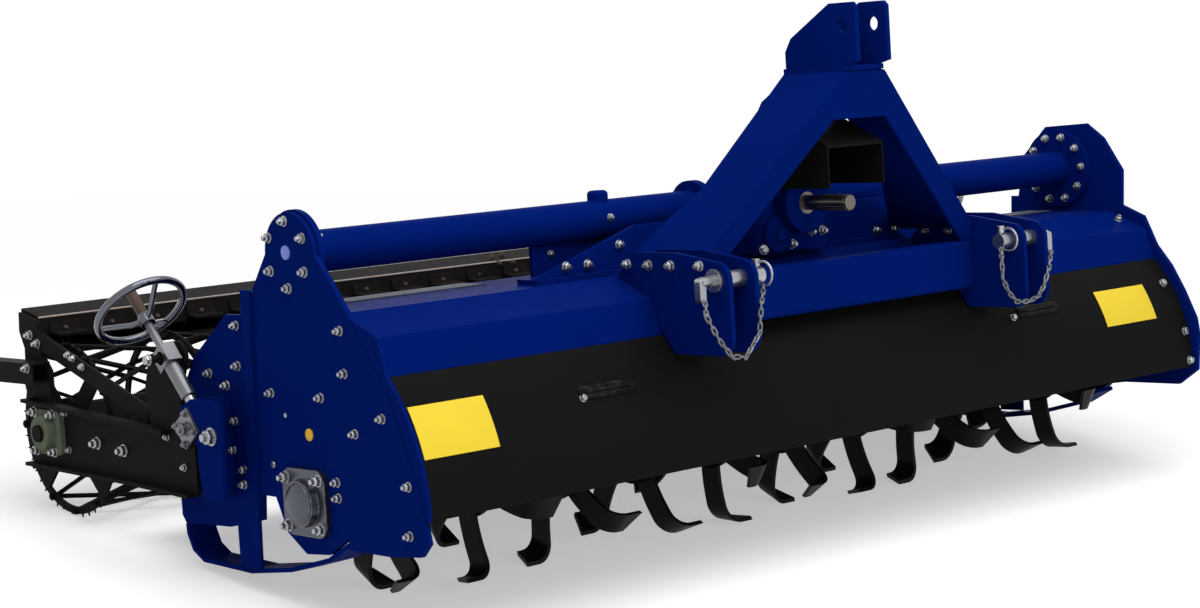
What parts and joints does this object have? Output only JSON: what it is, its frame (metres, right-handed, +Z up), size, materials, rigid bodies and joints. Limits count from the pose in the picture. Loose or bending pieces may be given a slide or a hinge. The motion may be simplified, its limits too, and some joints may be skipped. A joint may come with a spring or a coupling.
{
  "type": "rotary tiller",
  "caption": "Tractor-mounted rotary tiller with a geared cross drive, bladed rotor, blue housing and a cage packer roller raised by two hand screws.",
  "frame": {"origin": "centre of the footprint, on the ground that the rotor's blades and the roller stand on", "axes": "+X across the machine to the gear case side, +Y rearwards from the hitch to the roller, +Z up"},
  "size_m": [2.87, 1.7612, 1.2641],
  "materials": {
    "blue_paint": "deep blue enamel",
    "black_paint": "satin black",
    "dark_paint": "dark brown-black paint",
    "cast_iron": "bare casting",
    "cast_green": "grey-green primed casting",
    "zinc_steel": "zinc plated",
    "bare_steel": "turned",
    "worn_steel": "worn paint on forged steel",
    "chrome": "polished"
  },
  "bodies": {
    "frame": {"side_plate_left": "blue_paint", "side_plate_right": "blue_paint", "rear_panel_left": "blue_paint", "rear_panel_right": "blue_paint", "post_left": "blue_paint", "post_right": "blue_paint", "jack_bracket_left": "blue_paint", "jack_bracket_right": "blue_paint", "gearbox": "blue_paint", "tube_left": "blue_paint", "tube_right": "blue_paint", "hood": "blue_paint", "front_beam": "blue_paint", "headstock_face": "blue_paint", "headstock_leg_left": "blue_paint", "headstock_leg_right": "blue_paint", "hitch_lug_left": "blue_paint", "hitch_lug_right": "blue_paint", "cross_member": "blue_paint", "base_plate": "blue_paint", "gussets": "blue_paint", "top_bracket": "blue_paint", "stays": "blue_paint", "gear_case": "blue_paint", "case_cover": "blue_paint", "skid_left": "blue_paint", "skid_right": "blue_paint", "front_shield": "black_paint", "shaft_guard": "black_paint", "rotor_bearing": "cast_iron", "arm_pin_left": "zinc_steel", "arm_pin_right": "zinc_steel", "hitch_pin_left": "zinc_steel", "hitch_pin_right": "zinc_steel"},
    "input_shaft": {"input_shaft": "bare_steel"},
    "rotor": {"rotor_shaft": "dark_paint", "blades": "worn_steel"},
    "roller_frame": {"roller_arm_left": "dark_paint", "roller_arm_right": "dark_paint", "upright_left": "dark_paint", "upright_right": "dark_paint", "scraper_beam": "dark_paint", "roller_bearing_left": "cast_green", "roller_bearing_right": "cast_green"},
    "roller": {"roller_core": "dark_paint", "roller_cage": "dark_paint"},
    "jack_rod_left": {"jack_rod_left": "zinc_steel"},
    "jack_screw_left": {"jack_sleeve_left": "zinc_steel", "handwheel_left": "chrome"},
    "jack_rod_right": {"jack_rod_right": "zinc_steel"},
    "jack_screw_right": {"jack_sleeve_right": "zinc_steel", "handwheel_right": "chrome"},
    "tailboard": {"tailboard": "blue_paint"}
  },
  "joints": [
    {"name": "rotor_spin", "type": "hinge", "parent": "frame", "child": "rotor", "pos_m": [0, -0.40582, 0.24], "axis": [1, 0, 0], "continuous": true},
    {"name": "input_spin", "type": "hinge", "parent": "frame", "child": "input_shaft", "pos_m": [0.014, -0.6397, 0.79478], "axis": [0, -0.9925, 0.1223], "continuous": true},
    {"name": "roller_lift", "type": "hinge", "parent": "frame", "child": "roller_frame", "pos_m": [0, 0.00769, 0.32505], "axis": [1, 0, 0], "range_deg": [-12, 12]},
    {"name": "roller_spin", "type": "hinge", "parent": "roller_frame", "child": "roller", "pos_m": [0, 0.59744, 0.205], "axis": [1, 0, 0], "continuous": true},
    {"name": "tailboard_swing", "type": "hinge", "parent": "frame", "child": "tailboard", "pos_m": [0, 0.04298, 0.37345], "axis": [1, 0, 0], "range_deg": [-6, 10]},
    {"name": "jack_swing_left", "type": "hinge", "parent": "frame", "child": "jack_rod_left", "pos_m": [-1.324, -0.06495, 0.3733], "axis": [1, 0, 0], "range_deg": [-10.5, 10.5]},
    {"name": "jack_slide_left", "type": "slide", "parent": "jack_rod_left", "child": "jack_screw_left", "axis": [0, 0.7663, 0.6424], "range_m": [-0.018, 0.018]},
    {"name": "jack_swing_right", "type": "hinge", "parent": "frame", "child": "jack_rod_right", "pos_m": [1.324, -0.06495, 0.3733], "axis": [1, 0, 0], "range_deg": [-10.5, 10.5]},
    {"name": "jack_slide_right", "type": "slide", "parent": "jack_rod_right", "child": "jack_screw_right", "axis": [0, 0.7663, 0.6424], "range_m": [-0.018, 0.018]}
  ],
  "couplings": [
    {"joint": "input_spin", "follows": "rotor_spin", "ratio": 2.45},
    {"joint": "jack_swing_left", "follows": "roller_lift", "ratio": 0.85},
    {"joint": "jack_slide_left", "follows": "roller_lift", "m_per_rad": -0.082},
    {"joint": "jack_swing_right", "follows": "roller_lift", "ratio": 0.85},
    {"joint": "jack_slide_right", "follows": "roller_lift", "m_per_rad": -0.082}
  ]
}
